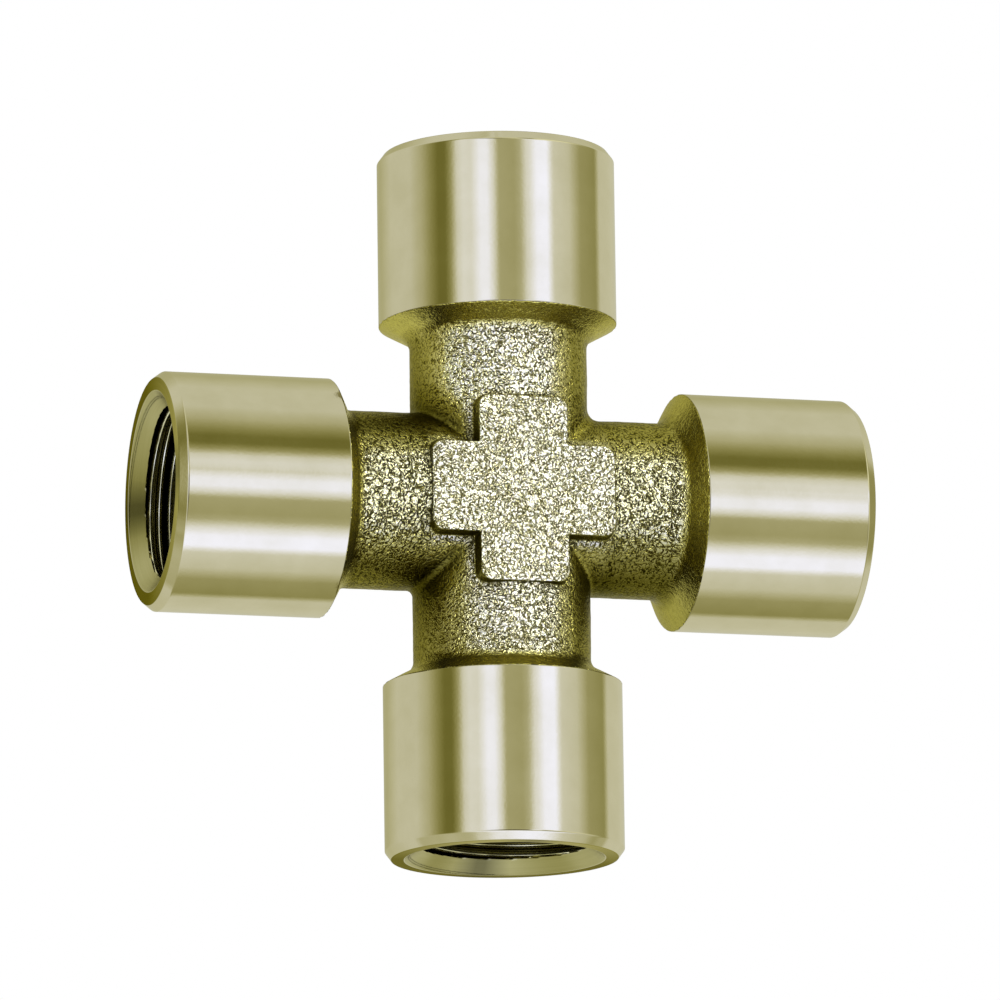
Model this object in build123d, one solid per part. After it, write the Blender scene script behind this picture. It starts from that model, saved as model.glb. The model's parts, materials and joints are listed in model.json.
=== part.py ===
from build123d import *
from build123d.topology import SkipClean
from math import cos, radians, sin, tan
import os

# A four-way female-threaded brass cross fitting, in millimetres. The run goes along Z and the branch
# along X. The two port axes cross at the origin, and the plus-shaped pads face -Y and +Y.
#
# The real fitting is one forging that is then machined, so the nodes are its zones: the as-forged body
# in the middle, and the four turned and tapped sockets. Each socket meets the body on a flat ring at
# its shoulder edge, with no gap and no overlap.

# Driving dimensions
SOCKET_DIAMETER = 16.0          # turned outside of each socket
END_TO_CENTRE = 24.0            # port face to the crossing of the port axes
SOCKET_LENGTH = 11.7            # turned length, from the port face to the shoulder edge
NECK_DIAMETER = 11.9            # as-forged arm between the crossing and a socket
SHOULDER_SLOPE = 1.1            # axial length of the forged slope behind a socket
SHOULDER_FILLET = 0.5           # concave radius where that slope meets the neck
CORNER_FILLET = 0.5             # concave radius where two necks meet
WATERWAY_DIAMETER = 8.5         # plain passage through the crossing

# Plus-shaped pads on the front and the back of the crossing
PAD_SPAN = 12.6                 # overall length of each of its two bars
PAD_BAR_WIDTH = 6.1
PAD_HEIGHT = 6.2                # pad face to the port axes
PAD_DRAFT = 5.0                 # forging draft on its sides, in degrees
PAD_CORNER_RADIUS = 0.8
PAD_EDGE_RADIUS = 0.12

# G 1/4 parallel pipe thread to ISO 228: 19 to the inch, 55 degrees, right-handed
THREADS_PER_INCH = 19
THREAD_MAJOR_DIAMETER = 13.157
THREAD_ANGLE = 55.0
THREAD_LENGTH = 10.4            # from the port face, with the stretch that fades out
THREAD_FADE = 2.0               # inner stretch that the tap's lead leaves shallow
TAP_DRILL_DEPTH = 11.2          # end of the plain wall, from the port face
DRILL_POINT_ANGLE = 118.0

# Mouth of each port
COUNTERSINK_DIAMETER = 13.4     # a 45 degree countersink
OUTER_CHAMFER_LENGTH = 0.58     # along the socket
OUTER_CHAMFER_DEPTH = 0.43      # across the port face

# Values that follow from the driving dimensions
PITCH = 25.4 / THREADS_PER_INCH
HALF_ANGLE = radians(THREAD_ANGLE / 2)
THREAD_DEPTH = 0.640327 * PITCH     # Whitworth thread height
ROOT_RADIUS = 0.137329 * PITCH      # Whitworth root rounding
MAJOR_RADIUS = THREAD_MAJOR_DIAMETER / 2
MINOR_RADIUS = MAJOR_RADIUS - THREAD_DEPTH
SOCKET_RADIUS = SOCKET_DIAMETER / 2
NECK_RADIUS = NECK_DIAMETER / 2
WATERWAY_RADIUS = WATERWAY_DIAMETER / 2
COUNTERSINK_RADIUS = COUNTERSINK_DIAMETER / 2
SHOULDER_EDGE = END_TO_CENTRE - SOCKET_LENGTH
SLOPE_START = SHOULDER_EDGE - SHOULDER_SLOPE
THREAD_START = END_TO_CENTRE - THREAD_LENGTH
TAP_DRILL_END = END_TO_CENTRE - TAP_DRILL_DEPTH
DRILL_POINT_LENGTH = (MINOR_RADIUS - WATERWAY_RADIUS) / tan(radians(DRILL_POINT_ANGLE / 2))
WATERWAY_END = TAP_DRILL_END - DRILL_POINT_LENGTH
COUNTERSINK_START = END_TO_CENTRE - (COUNTERSINK_RADIUS - MINOR_RADIUS)

OVERCUT = 0.1                   # how far a cutter stands past the surface that it opens
SPARE_LENGTH = 2 * PITCH        # blank left beyond the port face until the port is faced off
BLANK_END = END_TO_CENTRE + SPARE_LENGTH

# Each arm is drawn along +Z, then turned about Y to its own direction
ARM_TURNS = {"top": 0, "right": 90, "bottom": 180, "left": 270}


def turned_about_y(angle):
    """The placement that turns an arm drawn along +Z about the Y axis, in degrees."""
    return Rot(0, angle, 0)


def profile(points):
    """A face in the XZ plane from (radius, height) points."""
    return make_face(Polyline(*[(radius, 0, height) for radius, height in points], close=True))


def revolved(points, arc=360):
    """The solid that (radius, height) points sweep about the Z axis."""
    return revolve(profile(points), Axis.Z, arc)


# ---- the forged body ----

def neck_and_shoulder():
    """One solid arm as forged: a round neck that flares out to the shoulder edge."""
    outline = profile([
        (0, 0),
        (NECK_RADIUS, 0),
        (NECK_RADIUS, SLOPE_START),
        (SOCKET_RADIUS, SHOULDER_EDGE),
        (0, SHOULDER_EDGE),
    ])
    flare_root = outline.vertices().sort_by_distance((NECK_RADIUS, 0, SLOPE_START))[0]
    return revolve(fillet(flare_root, SHOULDER_FILLET), Axis.Z, 360)


def crossed_arms():
    """The four arms joined at the crossing, with a forging radius along the creases between them."""
    arms = Part() + [turned_about_y(angle) * neck_and_shoulder() for angle in ARM_TURNS.values()]
    creases = arms.edges().filter_by(GeomType.ELLIPSE)
    return fillet(creases, CORNER_FILLET)


def pad():
    """The plus-shaped pad that faces -Y, drafted, with rounded tips and a soft face edge."""
    plus = Rectangle(PAD_SPAN, PAD_BAR_WIDTH) + Rectangle(PAD_BAR_WIDTH, PAD_SPAN)
    tip = PAD_SPAN / 2 - OVERCUT
    corners = [v for v in plus.vertices() if max(abs(v.X), abs(v.Y)) > tip]
    plus = fillet(corners, PAD_CORNER_RADIUS)
    front = Plane.XZ.offset(PAD_HEIGHT)
    boss = extrude(front * plus, amount=-PAD_HEIGHT, taper=-PAD_DRAFT)
    face_edges = boss.faces().sort_by(Axis.Y)[0].edges()
    return fillet(face_edges, PAD_EDGE_RADIUS)


def port_bore():
    """What the drill and the tap drill take out of one arm, from the crossing past the port face."""
    return revolved([
        (0, 0),
        (WATERWAY_RADIUS, 0),
        (WATERWAY_RADIUS, WATERWAY_END),
        (MINOR_RADIUS, TAP_DRILL_END),
        (MINOR_RADIUS, BLANK_END + OVERCUT),
        (0, BLANK_END + OVERCUT),
    ])


def forged_body():
    """Necks, shoulders and pads in one piece, with the waterways through them."""
    blank = crossed_arms() + pad() + Rot(0, 0, 180) * pad()
    bores = Part() + [turned_about_y(angle) * port_bore() for angle in ARM_TURNS.values()]
    return blank - bores


# ---- a turned and tapped socket, along +Z ----

def thread_groove():
    """The helical groove that the tap cuts, with a rounded root, running past the port face."""
    inner_radius = MINOR_RADIUS - OVERCUT
    flank_end_radius = MAJOR_RADIUS - ROOT_RADIUS * (1 - sin(HALF_ANGLE))
    root_half = ROOT_RADIUS * cos(HALF_ANGLE)
    mouth_half = root_half + (flank_end_radius - inner_radius) * tan(HALF_ANGLE)
    sides = Polyline(
        (flank_end_radius, 0, THREAD_START - root_half),
        (inner_radius, 0, THREAD_START - mouth_half),
        (inner_radius, 0, THREAD_START + mouth_half),
        (flank_end_radius, 0, THREAD_START + root_half),
    )
    root = ThreePointArc(
        (flank_end_radius, 0, THREAD_START + root_half),
        (MAJOR_RADIUS, 0, THREAD_START),
        (flank_end_radius, 0, THREAD_START - root_half),
    )
    height = THREAD_LENGTH + SPARE_LENGTH - PITCH
    helix = Helix(pitch=PITCH, height=height, radius=MAJOR_RADIUS, center=(0, 0, THREAD_START))
    return sweep(make_face(sides + root), path=helix, is_frenet=True)


def tap_envelope():
    """The tap's outline: full size, with a tapered lead at its inner end."""
    return revolved([
        (0, THREAD_START - PITCH),
        (MINOR_RADIUS, THREAD_START - PITCH),
        (MINOR_RADIUS, THREAD_START),
        (MAJOR_RADIUS + OVERCUT, THREAD_START + THREAD_FADE),
        (MAJOR_RADIUS + OVERCUT, BLANK_END + PITCH),
        (0, BLANK_END + PITCH),
    ])


def facing_cut():
    """What facing off the port removes: the spare blank, the countersink and the outer chamfer."""
    chamfer_slope = OUTER_CHAMFER_LENGTH / OUTER_CHAMFER_DEPTH
    outside = SOCKET_RADIUS + 1
    chamfer_end = END_TO_CENTRE - chamfer_slope * (outside - SOCKET_RADIUS + OUTER_CHAMFER_DEPTH)
    return revolved([
        (0, COUNTERSINK_START - MINOR_RADIUS),
        (COUNTERSINK_RADIUS, END_TO_CENTRE),
        (SOCKET_RADIUS - OUTER_CHAMFER_DEPTH, END_TO_CENTRE),
        (outside, chamfer_end),
        (outside, BLANK_END + OVERCUT),
        (0, BLANK_END + OVERCUT),
    ])


def seamed(shape):
    """The same solid with its faces parted along the XZ plane, so that each turn of the thread's crest
    is two half-turn faces and not one long strip."""
    with SkipClean():
        halves = split(shape, bisect_by=Plane.XZ, keep=Keep.BOTH)
        return Part() + halves.solids()


def socket():
    """A turned socket with its tapped port, from the shoulder edge to the port face."""
    blank = revolved([
        (0, SHOULDER_EDGE),
        (SOCKET_RADIUS, SHOULDER_EDGE),
        (SOCKET_RADIUS, BLANK_END),
        (0, BLANK_END),
    ])
    groove = thread_groove() & tap_envelope()
    return seamed(blank - port_bore() - groove - facing_cut())


# ---- one STEP file per node ----

def write_node(name, shape):
    export_step(shape, f"parts/{name}.step")


os.makedirs("parts", exist_ok=True)
write_node("forged_body", forged_body())
upright_socket = socket()
for side, angle in ARM_TURNS.items():
    write_node(f"{side}_socket", turned_about_y(angle) * upright_socket)
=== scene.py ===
import json
import math

import bmesh
import bpy
import numpy as np
from mathutils import Matrix, Vector


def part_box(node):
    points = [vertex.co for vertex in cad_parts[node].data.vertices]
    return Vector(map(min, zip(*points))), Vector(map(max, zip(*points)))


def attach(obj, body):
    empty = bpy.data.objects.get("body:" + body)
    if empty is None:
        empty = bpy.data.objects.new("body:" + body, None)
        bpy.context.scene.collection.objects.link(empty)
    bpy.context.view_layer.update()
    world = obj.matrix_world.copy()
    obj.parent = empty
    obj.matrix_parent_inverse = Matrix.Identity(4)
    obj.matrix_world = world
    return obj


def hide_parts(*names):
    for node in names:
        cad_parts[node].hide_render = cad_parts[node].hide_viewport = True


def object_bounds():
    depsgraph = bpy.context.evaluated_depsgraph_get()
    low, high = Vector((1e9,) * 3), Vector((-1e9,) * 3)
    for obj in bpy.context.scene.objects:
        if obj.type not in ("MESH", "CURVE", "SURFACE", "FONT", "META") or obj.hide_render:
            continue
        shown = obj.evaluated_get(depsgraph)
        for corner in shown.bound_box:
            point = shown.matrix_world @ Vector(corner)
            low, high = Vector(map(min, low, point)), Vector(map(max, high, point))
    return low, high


# Looks of a one-piece brass cross fitting. Each socket is built of rings of points, with a helical
# thread inside. The forged middle is the zero surface of a distance field, with a slightly uneven skin.
# Both are worked out in millimetres and scaled to the frame's metres when they are made into meshes.

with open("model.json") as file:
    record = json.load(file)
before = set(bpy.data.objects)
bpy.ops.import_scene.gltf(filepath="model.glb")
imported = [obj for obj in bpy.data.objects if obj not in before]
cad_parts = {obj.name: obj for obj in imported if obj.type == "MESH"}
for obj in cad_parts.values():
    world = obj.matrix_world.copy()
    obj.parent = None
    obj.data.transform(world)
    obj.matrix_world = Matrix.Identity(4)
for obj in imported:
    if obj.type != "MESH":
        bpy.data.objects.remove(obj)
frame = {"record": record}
CAD_LOW, CAD_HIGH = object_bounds()
MM = 0.001

# ---- sizes read from the frame, in millimetres ----
MOUNTS = {mount["name"]: mount for mount in frame["record"]["mounts"]}
TOP_PORT = MOUNTS["top_port"]
END_TO_CENTRE = CAD_HIGH.z / MM
SOCKET_RADIUS = CAD_HIGH.y / MM
SHOULDER_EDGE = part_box("top_socket")[0].z / MM
MINOR_RADIUS = TOP_PORT["dims"]["r_mm"]
COUNTERSINK_START = TOP_PORT["pos_m"][2] / MM
TAP_DRILL_END = COUNTERSINK_START - TOP_PORT["dims"]["length_mm"]

# ---- sizes shared with the CAD model that the frame doesn't list, in millimetres ----
NECK_RADIUS = 5.95
SHOULDER_SLOPE = 1.1
SHOULDER_FILLET = 0.5
WATERWAY_RADIUS = 4.25
PAD_SPAN = 12.6
PAD_BAR_WIDTH = 6.1
PAD_HEIGHT = 6.2
PAD_DRAFT = math.radians(5)
PAD_CORNER_RADIUS = 0.8
PAD_EDGE_RADIUS = 0.12
PITCH = 25.4 / 19
HALF_ANGLE = math.radians(27.5)
ROOT_RADIUS = 0.137329 * PITCH
MAJOR_RADIUS = MINOR_RADIUS + 0.640327 * PITCH
THREAD_START = END_TO_CENTRE - 10.4
THREAD_FADE = 2.0
DRILL_SLOPE = math.tan(math.radians(59))
WATERWAY_END = TAP_DRILL_END - (MINOR_RADIUS - WATERWAY_RADIUS) / DRILL_SLOPE
CHAMFER_LENGTH = 0.58
CHAMFER_DEPTH = 0.43

# ---- sizes that follow from these ----
RIM_RADIUS = MINOR_RADIUS + END_TO_CENTRE - COUNTERSINK_START
DRILL_RADIUS = WATERWAY_RADIUS + (SHOULDER_EDGE - WATERWAY_END) * DRILL_SLOPE

ARM_TURNS = {"top": 0, "right": 90, "bottom": 180, "left": 270}  # degrees about Y, from +Z


# ---------------------------------------------------------------- meshes

def mesh_object(name, points, quads):
    """A smooth-shaded object from an array of points in millimetres and an array of quads."""
    mesh = bpy.data.meshes.new(name)
    mesh.vertices.add(len(points))
    mesh.vertices.foreach_set("co", (points * MM).astype(np.float32).ravel())
    mesh.loops.add(quads.size)
    mesh.loops.foreach_set("vertex_index", quads.astype(np.int32).ravel())
    mesh.polygons.add(len(quads))
    mesh.polygons.foreach_set("loop_start", np.arange(0, quads.size, 4, dtype=np.int32))
    mesh.update(calc_edges=True)
    mesh.polygons.foreach_set("use_smooth", np.ones(len(quads), bool))
    made = bpy.data.objects.new(name, mesh)
    bpy.context.scene.collection.objects.link(made)
    return made


WELD_GAP = 0.0002       # points closer than this are one point
SHORTEST_EDGE = 0.0001


def weld(made):
    """Joins points that meet, and drops the faces that this leaves with no area."""
    shape = bmesh.new()
    shape.from_mesh(made.data)
    bmesh.ops.remove_doubles(shape, verts=shape.verts, dist=WELD_GAP * MM)
    bmesh.ops.dissolve_degenerate(shape, edges=shape.edges, dist=SHORTEST_EDGE * MM)
    bmesh.ops.recalc_face_normals(shape, faces=shape.faces)
    shape.to_mesh(made.data)
    shape.free()


# ---- turned and tapped sockets ----

ROUND_STEPS = 240    # facets round a socket
EDGE_BREAK = 0.05                           # how far each outer corner is rounded
HOLD_GAP = 0.05                             # from a rounded corner to the ring that keeps its flat flat
CREST_BREAK = 0.085                         # wear on the crests of the thread
FLANK_STEPS = 6
ROOT_STEPS = 5
CREST_STEPS = 3
MOUTH_FADE = 0.25                           # the groove opens by 1 mm in this, under the countersink
DRILL_POINT_STEPS = 3
SHARP_ANGLE = math.radians(32)


def thread_rows():
    """One pitch of thread as (offset along the axis, radius) pairs, centred on the groove."""
    flank_end = MAJOR_RADIUS - ROOT_RADIUS * (1 - math.sin(HALF_ANGLE))
    root_half = ROOT_RADIUS * math.cos(HALF_ANGLE)
    flank_half = root_half + (flank_end - MINOR_RADIUS) * math.tan(HALF_ANGLE)
    crest_half = PITCH / 2 - flank_half
    side = [(-PITCH / 2 + crest_half * step / CREST_STEPS, MINOR_RADIUS) for step in range(CREST_STEPS)]
    side.append((-flank_half - CREST_BREAK, MINOR_RADIUS))
    side.append((-flank_half - 0.2 * CREST_BREAK, MINOR_RADIUS + 0.25 * CREST_BREAK))
    side.append((-flank_half + 0.5 * CREST_BREAK, MINOR_RADIUS + 1.1 * CREST_BREAK))
    for step in range(1, FLANK_STEPS):
        share = step / FLANK_STEPS
        offset = -flank_half + share * (flank_half - root_half)
        side.append((offset, MINOR_RADIUS + share * (flank_end - MINOR_RADIUS)))
    for step in range(ROOT_STEPS):
        offset = -root_half * (1 - step / ROOT_STEPS)
        side.append((offset, MAJOR_RADIUS - ROOT_RADIUS + math.sqrt(ROOT_RADIUS ** 2 - offset ** 2)))
    other_side = [(-offset, radius) for offset, radius in reversed(side[1:])]
    return side + [(0, MAJOR_RADIUS)] + other_side


def rounded(before, corner, after):
    """The points that round one corner of an outline, with a point each side to keep its flats flat."""
    before, corner, after = Vector(before), Vector(corner), Vector(after)
    start = corner + (before - corner).normalized() * EDGE_BREAK
    end = corner + (after - corner).normalized() * EDGE_BREAK
    arc = [start.lerp(corner, share).lerp(corner.lerp(end, share), share)
           for share in (0, 0.25, 0.5, 0.75, 1)]
    held_before = start.lerp(before, HOLD_GAP / (before - start).length)
    held_after = end.lerp(after, HOLD_GAP / (after - end).length)
    return [tuple(point) for point in (held_before, *arc, held_after)]


def socket_outline():
    """(radius, height) points up the outside of a socket and over its face to the countersink."""
    corners = [
        (DRILL_RADIUS, SHOULDER_EDGE),
        (SOCKET_RADIUS, SHOULDER_EDGE),
        (SOCKET_RADIUS, END_TO_CENTRE - CHAMFER_LENGTH),
        (SOCKET_RADIUS - CHAMFER_DEPTH, END_TO_CENTRE),
        (RIM_RADIUS, END_TO_CENTRE),
        (MINOR_RADIUS, COUNTERSINK_START),
    ]
    outline = [corners[0]]
    for before, corner, after in zip(corners, corners[1:], corners[2:]):
        outline += rounded(before, corner, after)
    return outline[:-1]


def socket_mesh(name):
    """A closed socket along +Z, with a helical thread inside."""
    turn = np.linspace(0, 1, ROUND_STEPS + 1)
    radii, heights = [], []

    def add_ring(radius, height):
        radii.append(np.broadcast_to(radius, turn.shape))
        heights.append(np.broadcast_to(height, turn.shape))

    for radius, height in socket_outline():
        add_ring(radius, height)

    # The thread's rows climb with the helix and are cut off where the wall starts and ends
    top = heights[-1][0]
    first = math.floor((TAP_DRILL_END - THREAD_START) / PITCH) - 2
    last = math.ceil((top - THREAD_START) / PITCH) + 1
    for number in range(last, first, -1):
        for offset, radius in reversed(thread_rows()[:-1]):
            height = np.clip(THREAD_START + (number + turn) * PITCH + offset, TAP_DRILL_END, top)
            lead = MINOR_RADIUS + (height - THREAD_START) / THREAD_FADE * (MAJOR_RADIUS - MINOR_RADIUS)
            dressed = MINOR_RADIUS + (COUNTERSINK_START - height) / MOUTH_FADE
            cut = np.maximum(np.minimum(np.minimum(radius, lead), dressed), MINOR_RADIUS)
            cut = np.where(height >= top, MINOR_RADIUS, cut)
            add_ring(np.maximum(cut, MINOR_RADIUS + height - COUNTERSINK_START), height)

    for step in range(DRILL_POINT_STEPS):
        share = step / DRILL_POINT_STEPS
        add_ring(MINOR_RADIUS + share * (DRILL_RADIUS - MINOR_RADIUS),
                 TAP_DRILL_END + share * (SHOULDER_EDGE - TAP_DRILL_END))

    radii, heights = np.array(radii), np.array(heights)
    angle = turn * 2 * math.pi
    points = np.stack([radii * np.cos(angle), radii * np.sin(angle), heights], 2).reshape(-1, 3)
    grid = np.arange(len(points)).reshape(radii.shape)
    above = np.roll(grid, -1, 0)
    quads = np.stack([grid[:, :-1], grid[:, 1:], above[:, 1:], above[:, :-1]], 2).reshape(-1, 4)
    made = mesh_object(name, points, quads)
    weld(made)
    made.data.set_sharp_from_angle(angle=SHARP_ANGLE)
    return made


# ---- the forged body ----

BODY_STEP = 0.09    # grid of the distance field
OUTER_BOX = (SHOULDER_EDGE, PAD_HEIGHT + 2.0, SHOULDER_EDGE)

# Forging radius in each corner between two necks, by the signs of x and z
CORNER_RADII = {(1, 1): 0.80, (-1, 1): 0.36, (-1, -1): 0.46, (1, -1): 0.30}
CORNER_BLEND = 1.4 * NECK_RADIUS        # width over which one corner's radius passes into the next
PAD_FILLET = 0.06

# Unevenness of the forged skin: (height, size of its bumps, seed)
UNEVEN = [(0.030, 3.1, 1), (0.012, 0.9, 2), (0.010, 0.38, 3)]
BORE_MARGIN = 0.4                       # the skin evens out this close to a waterway
END_MARGIN = 0.5                        # and this close to a socket
DRILLED_MARGIN = 0.12                   # faces this close to a waterway show its drilled wall
END_FACE_MARGIN = 0.02                  # and so do those that face a socket
LATTICE = 64                            # corners along a side of the repeating lattice of slopes
LATTICE_ORIGIN = 1000                   # keeps lattice positions positive
LATTICE_GAIN = 1.6                      # brings the noise to about -1 to 1
SETTLING_STEPS = 3                      # times that the points are moved onto the surface
LEAST_SLOPE = 0.2                       # keeps a point from jumping where the field is nearly flat
RIM_REACH = 0.62 * BODY_STEP            # points this close to a socket's rim are put on it


def round_union(one, other, radius):
    """The union of two distance fields, with a concave radius where they meet."""
    return (np.maximum(radius, np.minimum(one, other))
            - np.hypot(np.maximum(radius - one, 0), np.maximum(radius - other, 0)))


def round_cut(one, other, radius):
    """What two distance fields share, with a convex radius along the edge."""
    return -round_union(-one, -other, radius)


def arm_field(along, across, y):
    """(distance to a neck and its two shoulders, solid, distance from its axis)."""
    radius = np.hypot(across, y)
    slope = (SOCKET_RADIUS - NECK_RADIUS) / SHOULDER_SLOPE
    cone = NECK_RADIUS + (np.abs(along) - SHOULDER_EDGE + SHOULDER_SLOPE) * slope
    shoulder = (radius - cone) / math.hypot(1, slope)
    return round_union(radius - NECK_RADIUS, shoulder, SHOULDER_FILLET), radius


def bore_field(along, radius):
    """Distance to the waterway along one arm, with the drill points that open it out at both ends."""
    drill = WATERWAY_RADIUS + (np.abs(along) - WATERWAY_END) * DRILL_SLOPE
    return np.minimum(radius - WATERWAY_RADIUS, (radius - drill) / math.hypot(1, DRILL_SLOPE))


def corner_radius(x, y, z):
    """The forging radius between the necks. It fades out where their surfaces run into one."""
    east = np.clip(x / CORNER_BLEND + 0.5, 0, 1)
    north = np.clip(z / CORNER_BLEND + 0.5, 0, 1)
    radius = 0
    for (side_x, side_z), size in CORNER_RADII.items():
        share_x = east if side_x > 0 else 1 - east
        share_z = north if side_z > 0 else 1 - north
        radius = radius + size * share_x * share_z
    return radius * np.clip(1 - (y / NECK_RADIUS) ** 2, 0.02, 1)


def pad_field(x, y, z):
    """Distance to the plus-shaped pads on the front and the back."""
    grown = (PAD_HEIGHT - np.abs(y)) * math.tan(PAD_DRAFT)
    outline = 1e3
    for long, short in ((x, z), (z, x)):
        past_tip = np.abs(long) - PAD_SPAN / 2 - grown + PAD_CORNER_RADIUS
        past_side = np.abs(short) - PAD_BAR_WIDTH / 2 - grown + PAD_CORNER_RADIUS
        bar = (np.hypot(np.maximum(past_tip, 0), np.maximum(past_side, 0))
               + np.minimum(np.maximum(past_tip, past_side), 0) - PAD_CORNER_RADIUS)
        outline = np.minimum(outline, bar)
    return round_cut(outline, np.abs(y) - PAD_HEIGHT, PAD_EDGE_RADIUS)


def body_field(x, y, z):
    """(distance to the body, distance to its waterways) at points in millimetres."""
    upright, upright_radius = arm_field(z, x, y)
    level, level_radius = arm_field(x, z, y)
    outside = round_union(upright, level, corner_radius(x, y, z))
    outside = round_union(outside, pad_field(x, y, z), PAD_FILLET)
    bores = np.minimum(bore_field(z, upright_radius), bore_field(x, level_radius))
    ends = np.maximum(np.abs(x), np.abs(z)) - SHOULDER_EDGE
    return np.maximum(np.maximum(outside, ends), -bores), bores


def surface_net(field):
    """Points, in grid steps, and quads where a sampled field changes sign."""
    inside = field < 0
    cells = [size - 1 for size in field.shape]
    corners = [(i, j, k) for i in (0, 1) for j in (0, 1) for k in (0, 1)]

    def corner(values, at):
        return values[tuple(slice(o, o + n) for o, n in zip(at, cells))]

    count = sum(corner(inside, at).astype(np.int8) for at in corners)
    mixed = (count > 0) & (count < 8)
    where = np.argwhere(mixed)
    number = np.full(mixed.shape, -1, np.int32)
    number[mixed] = np.arange(len(where))
    total, crossings = np.zeros((len(where), 3)), np.zeros(len(where))
    for axis in range(3):
        for start in [at for at in corners if at[axis] == 0]:
            end = tuple(o + (i == axis) for i, o in enumerate(start))
            low, high = corner(field, start)[mixed], corner(field, end)[mixed]
            crossed = (low < 0) != (high < 0)
            share = low[crossed] / (low[crossed] - high[crossed])
            point = np.tile(np.array(start, float), (crossed.sum(), 1))
            point[:, axis] = share
            total[crossed] += point
            crossings[crossed] += 1
    points = where + total / crossings[:, None]

    quads = []
    for axis in range(3):
        b, c = (axis + 1) % 3, (axis + 2) % 3
        low = [slice(1, n) for n in cells]
        low[axis] = slice(0, cells[axis])
        high = list(low)
        high[axis] = slice(1, cells[axis] + 1)
        before, after = inside[tuple(low)], inside[tuple(high)]
        for flag, order in ((before & ~after, (0, 1, 2, 3)), (~before & after, (3, 2, 1, 0))):
            at = np.argwhere(flag)
            ring = []
            for step_b, step_c in ((-1, -1), (0, -1), (0, 0), (-1, 0)):
                cell = at.copy()
                cell[:, b] += 1 + step_b
                cell[:, c] += 1 + step_c
                ring.append(number[cell[:, 0], cell[:, 1], cell[:, 2]])
            quads.append(np.stack([ring[i] for i in order], 1))
    return points, np.concatenate(quads)


def slope_of(points, gap=0.01):
    """The distance field and its gradient at an array of points."""
    columns = [points[:, i] for i in range(3)]
    gradient = np.empty_like(points)
    for axis in range(3):
        ahead, behind = list(columns), list(columns)
        ahead[axis] = columns[axis] + gap
        behind[axis] = columns[axis] - gap
        gradient[:, axis] = (body_field(*ahead)[0] - body_field(*behind)[0]) / (2 * gap)
    return body_field(*columns), gradient


def lattice_noise(points, cell, seed):
    """Smooth random heights from -1 to 1, with one random slope at each corner of a cubic lattice."""
    random = np.random.default_rng(seed)
    slopes = random.normal(size=(LATTICE, LATTICE, LATTICE, 3))
    slopes /= np.linalg.norm(slopes, axis=3, keepdims=True)
    scaled = points / cell + LATTICE_ORIGIN
    base = np.floor(scaled).astype(int)
    part = scaled - base
    fade = part ** 3 * (part * (part * 6 - 15) + 10)
    total = np.zeros(len(points))
    for i in (0, 1):
        for j in (0, 1):
            for k in (0, 1):
                at = (base + (i, j, k)) % LATTICE
                slope = slopes[at[:, 0], at[:, 1], at[:, 2]]
                weight = np.ones(len(points))
                for axis, side in enumerate((i, j, k)):
                    weight *= fade[:, axis] if side else 1 - fade[:, axis]
                total += weight * np.sum(slope * (part - (i, j, k)), 1)
    return total * LATTICE_GAIN


def body_mesh(name):
    """(the forged body, which of its faces are machined), with true rims where it meets the sockets."""
    counts = [2 * (int(half / BODY_STEP) + 3) for half in OUTER_BOX]
    axes = [(np.arange(count) - (count - 1) / 2) * BODY_STEP for count in counts]
    field = np.empty(counts, np.float32)
    for index, x in enumerate(axes[0]):
        field[index] = body_field(x, axes[1][:, None], axes[2][None, :])[0]
    points, quads = surface_net(field)
    points = np.stack([points[:, i] * BODY_STEP + axes[i][0] for i in range(3)], 1)
    for _ in range(SETTLING_STEPS):
        (distance, _), gradient = slope_of(points)
        steepness = np.maximum((gradient ** 2).sum(1), LEAST_SLOPE)
        points -= distance[:, None] * gradient / steepness[:, None]

    # Only the forged skin is uneven. The waterways and the rings that meet the sockets stay true.
    (distance, bores), gradient = slope_of(points)
    gradient /= np.linalg.norm(gradient, axis=1)[:, None]
    end_gap = SHOULDER_EDGE - np.maximum(np.abs(points[:, 0]), np.abs(points[:, 2]))
    skin = np.clip(bores / BORE_MARGIN, 0, 1) * np.clip(end_gap / END_MARGIN, 0, 1)
    uneven = sum(rise * lattice_noise(points, cell, seed) for rise, cell, seed in UNEVEN)
    points += gradient * (skin * uneven)[:, None]

    for along, across in ((0, 2), (2, 0)):
        radius = np.hypot(points[:, across], points[:, 1])
        off_rim = np.hypot(radius - SOCKET_RADIUS, np.abs(points[:, along]) - SHOULDER_EDGE)
        rim = off_rim < RIM_REACH
        for axis in (across, 1):
            points[rim, axis] *= SOCKET_RADIUS / radius[rim]
        points[rim, along] = np.sign(points[rim, along]) * SHOULDER_EDGE

    drilled = np.abs(bores[quads]).min(1) < DRILLED_MARGIN
    facing_socket = end_gap[quads].max(1) < END_FACE_MARGIN
    return mesh_object(name, points, quads), drilled | facing_socket


# ---------------------------------------------------------------- materials

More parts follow.
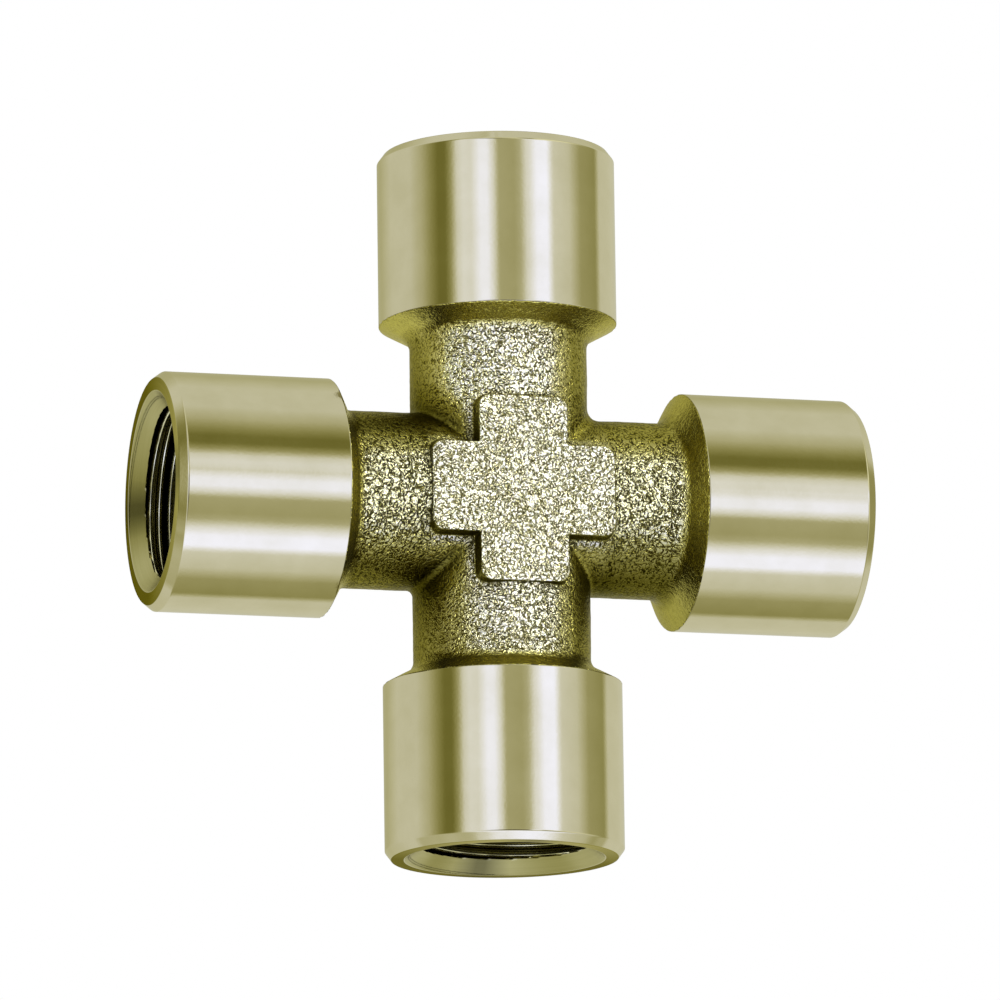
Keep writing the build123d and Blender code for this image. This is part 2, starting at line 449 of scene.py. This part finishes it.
class Nodes:
    """Adds nodes to one tree. An input can be a value or another node's output."""

    def __init__(self, tree):
        self.tree = tree
        tree.nodes.clear()

    def add(self, kind, inputs=None, out=0, **settings):
        node = self.tree.nodes.new(kind)
        for name, value in settings.items():
            setattr(node, name, value)
        for name, value in (inputs or {}).items():
            if isinstance(value, bpy.types.NodeSocket):
                self.tree.links.new(value, node.inputs[name])
            else:
                node.inputs[name].default_value = value
        return node.outputs[out] if node.outputs else node

    def math(self, operation, one, other=0.0):
        return self.add("ShaderNodeMath", {0: one, 1: other}, operation=operation)

    def plus(self, one, other):
        return self.math("ADD", one, other)

    def minus(self, one, other):
        return self.math("SUBTRACT", one, other)

    def times(self, one, other):
        return self.math("MULTIPLY", one, other)

    def off(self, one, other):
        """How far one value is from another, either way."""
        return self.math("ABSOLUTE", self.minus(one, other))

    def dot(self, vector, other):
        return self.add("ShaderNodeVectorMath", {0: vector, 1: other}, "Value", operation="DOT_PRODUCT")

    def span(self, value, low, high, to_low=0.0, to_high=1.0):
        """value from the range low..high to the range to_low..to_high, clamped."""
        return self.add("ShaderNodeMapRange", {
            "Value": value, "From Min": low, "From Max": high, "To Min": to_low, "To Max": to_high})

    def noise(self, vector, scale, detail=2.0, roughness=0.5, distortion=0.0):
        return self.add("ShaderNodeTexNoise", {
            "Vector": vector, "Scale": scale, "Detail": detail, "Roughness": roughness,
            "Distortion": distortion})

    def grey(self, level):
        return self.add("ShaderNodeCombineColor", {"Red": level, "Green": level, "Blue": level})

    def ramp(self, value, stops):
        out = self.add("ShaderNodeValToRGB", {"Fac": value})
        elements = out.node.color_ramp.elements
        while len(elements) < len(stops):
            elements.new(1.0)
        for element, (position, colour) in zip(elements, stops):
            element.position = position
            element.color = (*colour, 1.0)
        return out

    def mix(self, share, one, other, blend="MIX"):
        out = self.add("ShaderNodeMix", data_type="RGBA", blend_type=blend, out=2)
        for index, value in ((0, share), (6, one), (7, other)):
            if isinstance(value, bpy.types.NodeSocket):
                self.tree.links.new(value, out.node.inputs[index])
            else:
                out.node.inputs[index].default_value = value if index == 0 else (*value, 1.0)
        return out

    def tinted(self, colour, *layers):
        """A colour multiplied by others."""
        for layer in layers:
            colour = self.mix(1.0, colour, layer, "MULTIPLY")
        return colour

    def bump(self, height, distance, **inputs):
        """Relief of a height of 0 to 1 over a distance in millimetres."""
        return self.add("ShaderNodeBump", {
            "Height": height, "Strength": 1.0, "Distance": distance * MM, **inputs})

    def brass(self, colour, roughness, normal, edge_tint=(1.0, 1.0, 1.0, 1.0)):
        """The material's surface. edge_tint is the colour that the metal turns to at grazing angles."""
        shader = self.add("ShaderNodeBsdfPrincipled", {
            "Base Color": colour, "Metallic": 1.0, "Roughness": roughness, "Normal": normal,
            "Specular Tint": edge_tint})
        self.add("ShaderNodeOutputMaterial", {"Surface": shader})


WHITE = (1.0, 1.0, 1.0)


def material(name):
    made = bpy.data.materials.new(name)
    made.use_nodes = True
    return made, Nodes(made.node_tree)


def millimetres(nodes):
    """The object's own coordinates, in millimetres."""
    coordinates = nodes.add("ShaderNodeTexCoord", out="Object")
    return nodes.add("ShaderNodeVectorMath", {0: coordinates, "Scale": 1 / MM}, operation="SCALE")


def seen_in_brass(nodes):
    """Painted shade in reflections: brass mirrored in brass is painted deeper and darker than brass
    seen straight.
    """
    glossy = nodes.add("ShaderNodeLightPath", out="Is Glossy Ray")
    return nodes.mix(glossy, WHITE, (0.34, 0.31, 0.16))


# ---- forged brass ----

# Painted light: the faces that look this way or the opposite way are painted brightest. They are also
# the coarsest.
LIT_FACING_AXIS = (0.12, 0.99, 0.10)

# Painted shade on each side of each neck: the neck's direction, the side's, and the share of the colour
#  that the side keeps
LEFT, RIGHT, DOWN, UP = (-1, 0, 0), (1, 0, 0), (0, 0, -1), (0, 0, 1)
NECK_SIDES = [
    (LEFT, UP, 0.50), (LEFT, DOWN, 0.70), (RIGHT, UP, 0.80), (RIGHT, DOWN, 0.52),
    (UP, LEFT, 1.30), (UP, RIGHT, 0.74), (DOWN, LEFT, 0.88), (DOWN, RIGHT, 0.64),
]
NECK_FROM, NECK_TO = 5.0, 6.4           # where a neck's own shading comes in, from the centre
SIDE_FROM, SIDE_TO = 1.6, 4.0           # where a side's shading comes in, from the neck's middle line
SIDE_TINT = (1.0, 0.98, 0.80)
SIDE_TILT = 0.35                        # a darker side also counts as facing further away
LEVEL_NECK_TINT = (0.96, 0.96, 0.84)
LEVEL_NECK_PITS = 0.13                  # how much more of the grain is dark there

FLARE_START = SHOULDER_EDGE - SHOULDER_SLOPE
FLARE_BLEND = 0.4
FLARE_COLOUR = (0.78, 0.76, 0.44)
FLARE_EVENNESS = 0.6                    # how far the grain's colour gives way to one colour there

CREASE_WIDTH = 2.6                      # the painted shade in the crease between two necks, across its diagonal
CREASE_DEPTH = 0.35
CREASE_START = PAD_BAR_WIDTH / 2 + 0.4  # it starts clear of the pad
CREASE_BLEND = 0.5

PAD_TIP = PAD_SPAN / 2
PAD_TIP_BLEND = 0.1
LIT_END_FACING = 0.98                      # painted light: the pad's left end counts as facing front, so that it is painted bright and hardly shows
SHELTER_REACH = 7.0                     # how near other brass has to be to shade the skin
GRAIN_RELIEF = 0.20
COARSE_FROM, COARSE_TO = 0.55, 0.93     # the facing over which the skin turns from smooth to coarse
FORGED_ROUGHNESS = (0.26, 0.14)         # before and after that turn
FORGED_EDGE_TINT = (0.85, 0.82, 0.50, 1.0)


def grain(nodes, where, level_neck):
    """(height, colour) of the shot-blasted grain: wormy, dark in its pits and pale on its peaks."""
    worms = nodes.span(nodes.off(nodes.noise(where, 3.3, 0.8, 0.5, 0.7), 0.5), 0.0, 0.12)
    fine = nodes.noise(where, 6.5, 0.6, 0.5, 0.5)
    height = nodes.plus(nodes.times(worms, 0.5), nodes.times(fine, 0.5))
    pale = nodes.plus(nodes.times(worms, 0.7), nodes.span(fine, 0.35, 0.65, 0.0, 0.3))
    colour = nodes.ramp(nodes.minus(pale, nodes.times(level_neck, LEVEL_NECK_PITS)), [
        (0.00, (0.08, 0.07, 0.02)),
        (0.24, (0.32, 0.30, 0.12)),
        (0.44, (1.0, 0.98, 0.68)),
        (1.00, (1.0, 1.0, 0.92)),
    ])
    return height, colour


def forged_brass():
    """Shot-blasted brass, with painted light and shade. The faces that look front or back are painted
    bright, and are coarse. The sides of the necks and the creases between them are painted darker, the
    undersides of the shoulders are darker, and all of these are smoother."""
    made, nodes = material("forged_brass")
    where = millimetres(nodes)
    east, north = nodes.dot(where, RIGHT), nodes.dot(where, UP)
    off_x, off_z = nodes.math("ABSOLUTE", east), nodes.math("ABSOLUTE", north)
    flare = nodes.span(nodes.math("MAXIMUM", off_x, off_z),
                       FLARE_START - FLARE_BLEND, FLARE_START + FLARE_BLEND)
    past_pad = nodes.span(off_x, PAD_TIP - PAD_TIP_BLEND, PAD_TIP + PAD_TIP_BLEND)
    level_neck = nodes.times(past_pad, nodes.minus(1.0, flare))
    height, colour = grain(nodes, where, level_neck)

    # How nearly the skin faces front or back, where the painted light is brightest, from 0 to 1
    normal = nodes.add("ShaderNodeNewGeometry", out="Normal")
    facing = nodes.math("ABSOLUTE", nodes.dot(normal, LIT_FACING_AXIS))
    # Painted light on the pad's left end
    at_tip = nodes.times(nodes.span(east, 0.4 - PAD_TIP, 0.1 - PAD_TIP),
                         nodes.span(east, -0.6 - PAD_TIP, -0.3 - PAD_TIP))
    painted_lit_end = nodes.times(at_tip, nodes.span(off_z, 2.4, 2.9, LIT_END_FACING, 0.0))
    facing = nodes.math("MAXIMUM", facing, painted_lit_end)
    # Painted shade: the crease between two necks counts as facing away
    crease = nodes.times(
        nodes.span(nodes.off(off_x, off_z), 0.2, CREASE_WIDTH, CREASE_DEPTH, 0.0),
        nodes.span(nodes.math("MINIMUM", off_x, off_z), CREASE_START, CREASE_START + CREASE_BLEND))
    facing = nodes.minus(facing, crease)

    # Painted shade: each side of a neck is darkened by its share, and counts as facing further away
    for neck, side, kept in NECK_SIDES:
        mask = nodes.times(nodes.span(nodes.dot(where, neck), NECK_FROM, NECK_TO),
                           nodes.span(nodes.dot(where, side), SIDE_FROM, SIDE_TO))
        facing = nodes.minus(facing, nodes.times(mask, SIDE_TILT * (1 - kept)))
        colour = nodes.mix(mask, colour, nodes.tinted(colour, tuple(kept * part for part in SIDE_TINT)))
    colour = nodes.mix(level_neck, colour, nodes.tinted(colour, LEVEL_NECK_TINT))
    colour = nodes.mix(nodes.times(flare, FLARE_EVENNESS), colour, FLARE_COLOUR)

    patches = nodes.ramp(nodes.noise(where, 0.22, 2.0, 0.5), [
        (0.30, (0.88, 0.87, 0.80)), (0.70, WHITE)])
    sheltered = nodes.add("ShaderNodeAmbientOcclusion", {"Distance": SHELTER_REACH * MM},
                          out=1, samples=8)
    shade = nodes.ramp(sheltered, [
        (0.35, (0.16, 0.15, 0.06)), (0.62, (0.42, 0.40, 0.25)), (0.88, WHITE)])
    shade = nodes.mix(flare, shade, (0.95, 0.95, 0.90))
    # Painted light: faces that look front or back are bright, and the rest are darker
    painted_facing_light = nodes.ramp(facing, [
        (0.00, (0.56, 0.53, 0.18)), (0.60, (0.58, 0.55, 0.22)), (0.78, (0.76, 0.74, 0.46)),
        (0.88, WHITE)])
    painted_facing_light = nodes.mix(flare, painted_facing_light, (1.0, 0.96, 0.46))
    # Painted shade in the creases, deeper to the left
    deep = nodes.times(crease, nodes.span(east, -1.0, 1.0, 1.0, 0.7))
    painted_crease_shade = nodes.ramp(deep, [
        (0.0, WHITE), (0.24, (0.76, 0.74, 0.52)), (0.35, (0.36, 0.35, 0.21))])
    colour = nodes.tinted(colour, patches, shade, painted_facing_light, painted_crease_shade, seen_in_brass(nodes))

    relief = nodes.minus(nodes.span(facing, COARSE_FROM, COARSE_TO, 0.3, 1.0),
                         nodes.span(facing, 0.99, 1.0, 0.0, 0.05))
    relief = nodes.times(relief, nodes.span(flare, 0.0, 1.0, 1.0, 0.5))
    nodes.brass(colour, nodes.span(facing, COARSE_FROM, COARSE_TO, *FORGED_ROUGHNESS),
                nodes.bump(height, GRAIN_RELIEF, Strength=relief), FORGED_EDGE_TINT)
    return made


# ---- turned brass ----

FACED_LINE_RELIEF = 0.0006
SPECK_RELIEF = 0.0018
LINE_STRETCH = 0.12                     # how little a lathe line changes on its way round
STREAK_HALF_WIDTH = (0.05, 0.32)        # of the radius: where the streak starts to fade, and is gone
STREAK_SHADE = 0.42
NEAR_SIDE_GAIN = 2.6
POLISHED_ROUGHNESS = (0.055, 0.085)
FACED_ROUGHNESS = 0.22                  # the port face and countersink are rougher by this
THREAD_ROUGHNESS = 0.11                 # and the thread by this


def turned_brass():
    """Machined brass in its zones: polished outside, coarser port face and countersink, and thread."""
    made, nodes = material("turned_brass")
    where = millimetres(nodes)
    axes = nodes.add("ShaderNodeSeparateXYZ", {"Vector": where}).node.outputs
    height = axes["Z"]
    radius = nodes.math("SQRT", nodes.plus(nodes.times(axes["X"], axes["X"]),
                                           nodes.times(axes["Y"], axes["Y"])))
    face = nodes.times(nodes.span(height, END_TO_CENTRE - 0.04, END_TO_CENTRE - 0.02),
                       nodes.span(radius, RIM_RADIUS + 0.01, RIM_RADIUS + 0.06))
    inside = nodes.span(radius, RIM_RADIUS - 0.03, RIM_RADIUS + 0.03, 1.0, 0.0)
    countersink = nodes.times(inside, nodes.span(height, COUNTERSINK_START - 0.02, COUNTERSINK_START))
    thread = nodes.minus(inside, countersink)

    # Patterns: lathe lines run round the axis, clouds and specks lie anywhere
    around = nodes.times(nodes.math("ARCTAN2", axes["Y"], axes["X"]), LINE_STRETCH)
    tooled = nodes.add("ShaderNodeCombineXYZ", {"X": radius, "Y": height, "Z": around})
    lines = nodes.noise(tooled, 9.0, 3.0, 0.6)
    cloud = nodes.noise(where, 0.35, 3.0, 0.55)
    specks = nodes.noise(where, 5.0, 2.0, 0.5)

    # Painted reflection: a faced ring or cone is painted with a dark streak across it, and painted
    # lighter on its near side
    off_streak = nodes.math("ABSOLUTE", nodes.math("DIVIDE", axes["X"], radius))
    streak = nodes.grey(nodes.span(off_streak, *STREAK_HALF_WIDTH, STREAK_SHADE, 1.0))
    far_side = nodes.span(nodes.math("DIVIDE", axes["Y"], radius), -1.0, 0.2)
    near_side = nodes.grey(nodes.span(far_side, 0.0, 1.0, NEAR_SIDE_GAIN, 1.0))
    outer = nodes.ramp(cloud, [(0.30, (0.68, 0.64, 0.39)), (0.70, (0.74, 0.70, 0.45))])
    faced = nodes.ramp(lines, [(0.30, (0.17, 0.155, 0.042)), (0.70, (0.22, 0.20, 0.060))])
    sunk = nodes.ramp(lines, [(0.30, (0.50, 0.475, 0.20)), (0.70, (0.55, 0.52, 0.23))])
    # Painted shade and highlights in the thread: its flanks are painted near black, its crests and
    # roots bright
    tapped = nodes.ramp(nodes.span(radius, MINOR_RADIUS, MAJOR_RADIUS), [
        (0.00, (1.0, 0.99, 0.66)), (0.18, (1.0, 0.98, 0.60)), (0.28, (0.06, 0.055, 0.02)),
        (0.78, (0.05, 0.045, 0.015)), (0.88, (1.0, 0.98, 0.60)), (1.00, (1.0, 0.99, 0.66))])
    colour = nodes.mix(face, outer, nodes.tinted(faced, streak, near_side))
    colour = nodes.mix(countersink, colour, nodes.tinted(sunk, streak))
    colour = nodes.mix(thread, colour, tapped)

    roughness = nodes.span(cloud, 0.3, 0.7, *POLISHED_ROUGHNESS)
    cut_across = nodes.math("MAXIMUM", face, countersink)
    roughness = nodes.plus(roughness, nodes.times(cut_across, FACED_ROUGHNESS))
    roughness = nodes.plus(roughness, nodes.times(thread, THREAD_ROUGHNESS))
    lined = nodes.bump(lines, FACED_LINE_RELIEF)
    # Painted light: the port face's edge tint is lighter on its near side
    faced_edge = nodes.mix(far_side, (0.84, 0.81, 0.52), (0.55, 0.51, 0.22))
    edge_tint = nodes.mix(face, (0.94, 0.93, 0.80), faced_edge)
    nodes.brass(nodes.tinted(colour, seen_in_brass(nodes)), roughness,
                nodes.bump(specks, SPECK_RELIEF, Normal=lined), edge_tint)
    return made


def drilled_brass():
    """The waterways' walls: drilled and not seen much; dull, and painted dark as shade inside the
    bores.
    """
    made, nodes = material("drilled_brass")
    marks = nodes.noise(millimetres(nodes), 3.0, 3.0, 0.6)
    colour = nodes.ramp(marks, [(0.30, (0.22, 0.20, 0.08)), (0.70, (0.36, 0.33, 0.15))])
    nodes.brass(colour, nodes.span(marks, 0.3, 0.7, 0.28, 0.40), nodes.bump(marks, 0.01))
    return made


# ---------------------------------------------------------------- studio

CAMERA_AZIMUTH = math.radians(-15.6)
CAMERA_ELEVATION = math.radians(-11.5)
CAMERA_ROLL = math.radians(-0.8)
CAMERA_DISTANCE = 0.720
CAMERA_LENS = 387.0
CAMERA_RISE = 0.00038

# Brightness of the light tent round a vertical socket, by degrees from the camera, where minus is to
# the left. The level sockets see the same panels from top to bottom.
PANELS = [
    (-180, 0.48), (-150, 0.54), (-124, 0.71), (-92, 0.71), (-77, 0.55), (-66, 0.33), (-58, 0.20),
    (-50, 0.20), (-44, 0.40), (-38, 0.83), (-32, 0.94), (-24, 0.92), (-15, 1.17), (-8, 1.17),
    (-2, 0.90), (3, 0.50), (18, 0.46), (24, 0.54), (32, 0.97), (40, 1.22), (51, 1.23), (58, 0.80),
    (76, 0.72), (90, 0.42), (112, 0.35), (120, 0.71), (150, 0.73), (180, 0.62),
]
PANEL_SCALE = 2.0                       # a ramp holds no more than 1, so the levels are kept at half

# Between the directions that the two kinds of socket mirror, the tent runs from a dark lower left to a
# light upper right. It comes in away from the nearer of them, and goes again far from the other.
BETWEEN_COMES = (0.05, 0.15)
BETWEEN_GOES = (0.50, 0.85)
RAKING = [(0.0, (0.14, 0.13, 0.09)), (0.5, (0.68, 0.66, 0.54)), (1.0, (0.95, 0.94, 0.84))]


def camera_axes():
    """The camera's right, up and back directions."""
    back = Vector((math.sin(CAMERA_AZIMUTH) * math.cos(CAMERA_ELEVATION),
                   -math.cos(CAMERA_AZIMUTH) * math.cos(CAMERA_ELEVATION), math.sin(CAMERA_ELEVATION)))
    right = Vector((math.cos(CAMERA_AZIMUTH), math.sin(CAMERA_AZIMUTH), 0))
    up = back.cross(right)
    cosine, sine = math.cos(CAMERA_ROLL), math.sin(CAMERA_ROLL)
    return cosine * right + sine * up, cosine * up - sine * right, back


def add_camera():
    right, up, back = camera_axes()
    data = bpy.data.cameras.new("camera")
    data.lens, data.sensor_width = CAMERA_LENS, 36
    data.clip_start, data.clip_end = 0.01, 10
    camera = bpy.data.objects.new("camera", data)
    turn = Matrix((right, up, back)).transposed().to_4x4()
    camera.matrix_world = Matrix.Translation(CAMERA_RISE * up + CAMERA_DISTANCE * back) @ turn
    bpy.context.scene.collection.objects.link(camera)
    bpy.context.scene.camera = camera


def panel_level(nodes, direction, ahead, aside):
    """The tent's brightness in a direction, by its angle from ahead towards aside."""
    angle = nodes.math("ARCTAN2", nodes.dot(direction, aside), nodes.dot(direction, ahead))
    share = nodes.span(angle, -math.pi, math.pi)
    return nodes.ramp(share, [
        ((angle + 180) / 360, (level / PANEL_SCALE,) * 3) for angle, level in PANELS])


def panel_colour(nodes, direction, off_upright, off_level, back):
    """The panels' colour. Each direction takes it from the sockets that are likelier to mirror it."""
    tilt = math.atan2(back.z, -back.y)
    flat_ahead = Vector((back.x, back.y, 0)).normalized()
    flat_right = Vector((-flat_ahead.y, flat_ahead.x, 0))
    round_upright = panel_level(nodes, direction, flat_ahead, flat_right)
    round_level = panel_level(nodes, direction, Vector((0, -math.cos(tilt), math.sin(tilt))),
                              Vector((0, -math.sin(tilt), -math.cos(tilt))))
    far_upright = nodes.times(off_upright, off_upright)
    far_level = nodes.times(off_level, off_level)
    share = nodes.math("DIVIDE", far_level, nodes.plus(nodes.plus(far_upright, far_level), 1e-5))
    level = nodes.times(nodes.mix(share, round_level, round_upright), PANEL_SCALE)

    # Dim panels are warmer than bright ones
    green = nodes.times(level, nodes.plus(nodes.times(level, 0.10), 0.925))
    blue = nodes.times(nodes.times(level, level), 1.4)
    return nodes.add("ShaderNodeCombineColor", {"Red": level, "Green": green, "Blue": blue})


def add_world():
    """A light tent of soft panels, seen only in reflections. The camera sees plain white."""
    world = bpy.data.worlds.new("studio")
    world.use_nodes = True
    bpy.context.scene.world = world
    nodes = Nodes(world.node_tree)
    direction = nodes.add("ShaderNodeTexCoord", out="Generated")
    _, _, back = camera_axes()

    # How far a direction is from those that an upright socket, and a level one, mirror to the camera
    off_upright = nodes.plus(nodes.dot(direction, (0, 0, 1)), back.z)
    off_level = nodes.plus(nodes.dot(direction, (1, 0, 0)), back.x)
    panels = panel_colour(nodes, direction, off_upright, off_level, back)
    near_upright, near_level = nodes.math("ABSOLUTE", off_upright), nodes.math("ABSOLUTE", off_level)
    nearer = nodes.math("MINIMUM", near_upright, near_level)
    further = nodes.math("MAXIMUM", near_upright, near_level)
    between = nodes.times(nodes.span(nearer, *BETWEEN_COMES),
                          nodes.span(further, *BETWEEN_GOES, 1.0, 0.0))
    between = nodes.times(between, nodes.span(nodes.dot(direction, (0, -1, 0)), 0.0, 0.3))
    raking = nodes.ramp(nodes.span(nodes.plus(off_upright, off_level), -0.40, 0.40), RAKING)
    tent = nodes.mix(between, panels, raking)
    seen = nodes.add("ShaderNodeLightPath", out="Is Camera Ray")
    nodes.add("ShaderNodeOutputWorld", {"Surface": nodes.add("ShaderNodeBackground", {
        "Color": nodes.mix(seen, tent, WHITE), "Strength": 1.0})})


# Small lamps that light only the forged body, so that its grain glints: directions from the object
GLINTS = {
    "glint_high_right": (0.62, -0.55, 0.56),
    "glint_high_left": (-0.12, -0.82, 0.56),
    "glint_low_right": (0.60, -0.78, -0.16),
    "glint_low_left": (-0.14, -0.97, -0.18),
}
GLINT_POWER = 0.24
GLINT_DISTANCE = 0.40
GLINT_SIZE = 0.10


def add_glints(receiver):
    receivers = bpy.data.collections.new("glinting")
    receivers.objects.link(receiver)
    for name, direction in GLINTS.items():
        direction = Vector(direction).normalized()
        data = bpy.data.lights.new(name, "AREA")
        data.shape, data.size, data.energy = "DISK", GLINT_SIZE, GLINT_POWER
        lamp = bpy.data.objects.new(name, data)
        lamp.location = direction * GLINT_DISTANCE
        lamp.rotation_mode = "QUATERNION"
        lamp.rotation_quaternion = direction.to_track_quat("Z", "Y")
        lamp.visible_camera = False
        lamp.light_linking.receiver_collection = receivers
        bpy.context.scene.collection.objects.link(lamp)


FLOOR_REACH = 4.0
FLOOR_HEIGHT = -0.20
FLOOR_FADE = (0.4, 1.8)                 # distances between which the floor turns to white


def add_floor():
    """A pale floor far below the object, which hangs free as the camera looks up at it."""
    corners = [(x * FLOOR_REACH, y * FLOOR_REACH, FLOOR_HEIGHT)
               for x, y in ((-1, -1), (1, -1), (1, 1), (-1, 1))]
    floor = mesh_object("floor", np.array(corners) / MM, np.array([[0, 1, 2, 3]]))
    made, nodes = material("pale_floor")
    where = nodes.add("ShaderNodeTexCoord", out="Object")
    away = nodes.add("ShaderNodeVectorMath", {0: where}, "Value", operation="LENGTH")
    colour = nodes.ramp(nodes.span(away, *FLOOR_FADE), [(0.0, (0.90, 0.90, 0.90)), (1.0, WHITE)])
    shader = nodes.add("ShaderNodeEmission", {"Color": colour})
    nodes.add("ShaderNodeOutputMaterial", {"Surface": shader})
    floor.data.materials.append(made)
    floor.visible_glossy = floor.visible_diffuse = floor.visible_shadow = False


# ---------------------------------------------------------------- the object

FORGED, TURNED, DRILLED = forged_brass(), turned_brass(), drilled_brass()

body, machined = body_mesh("forged_body")
body.data.materials.append(FORGED)
body.data.materials.append(DRILLED)
body.data.polygons.foreach_set("material_index", machined.astype(np.int32))
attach(body, "root")
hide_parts("forged_body")

for side, angle in ARM_TURNS.items():
    socket = socket_mesh(f"{side}_socket")
    socket.matrix_world = Matrix.Rotation(math.radians(angle), 4, "Y")
    socket.data.materials.append(TURNED)
    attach(socket, "root")
    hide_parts(f"{side}_socket")

add_camera()
add_world()
add_glints(body)
add_floor()
bpy.context.scene.view_settings.view_transform = "Standard"
